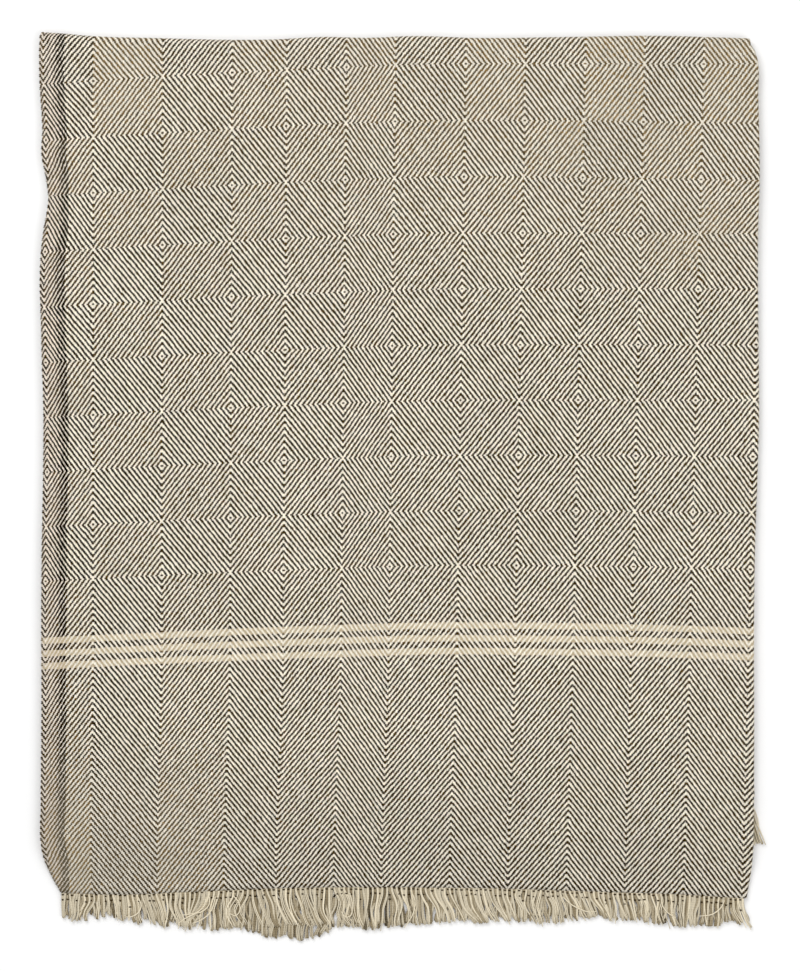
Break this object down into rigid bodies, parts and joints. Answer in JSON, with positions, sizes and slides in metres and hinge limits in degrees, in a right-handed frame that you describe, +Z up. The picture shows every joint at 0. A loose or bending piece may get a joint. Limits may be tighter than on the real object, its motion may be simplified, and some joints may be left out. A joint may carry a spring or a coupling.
{
  "type": "folded cotton blanket",
  "caption": "Woven cotton blanket folded in half twice, lying flat, in a black and cream diamond and herringbone twill with cream stripes and a loose fringe at both ends.",
  "frame": {"origin": "middle of the folded cloth's flat underside, on the surface it lies on", "axes": "+Z up from the surface, +Y towards the crosswise fold and away from the fringe, +X towards the lengthwise fold"},
  "size_m": [0.6401, 0.8097, 0.0132],
  "materials": {
    "cloth": "matt woven cotton, cream warp and near-black weft in a two and two twill",
    "fringe": "matt loose cream cotton yarn"
  },
  "bodies": {
    "root": {"blanket": "cloth", "fringe_upper": "fringe", "fringe_lower": "fringe"}
  },
  "joints": []
}
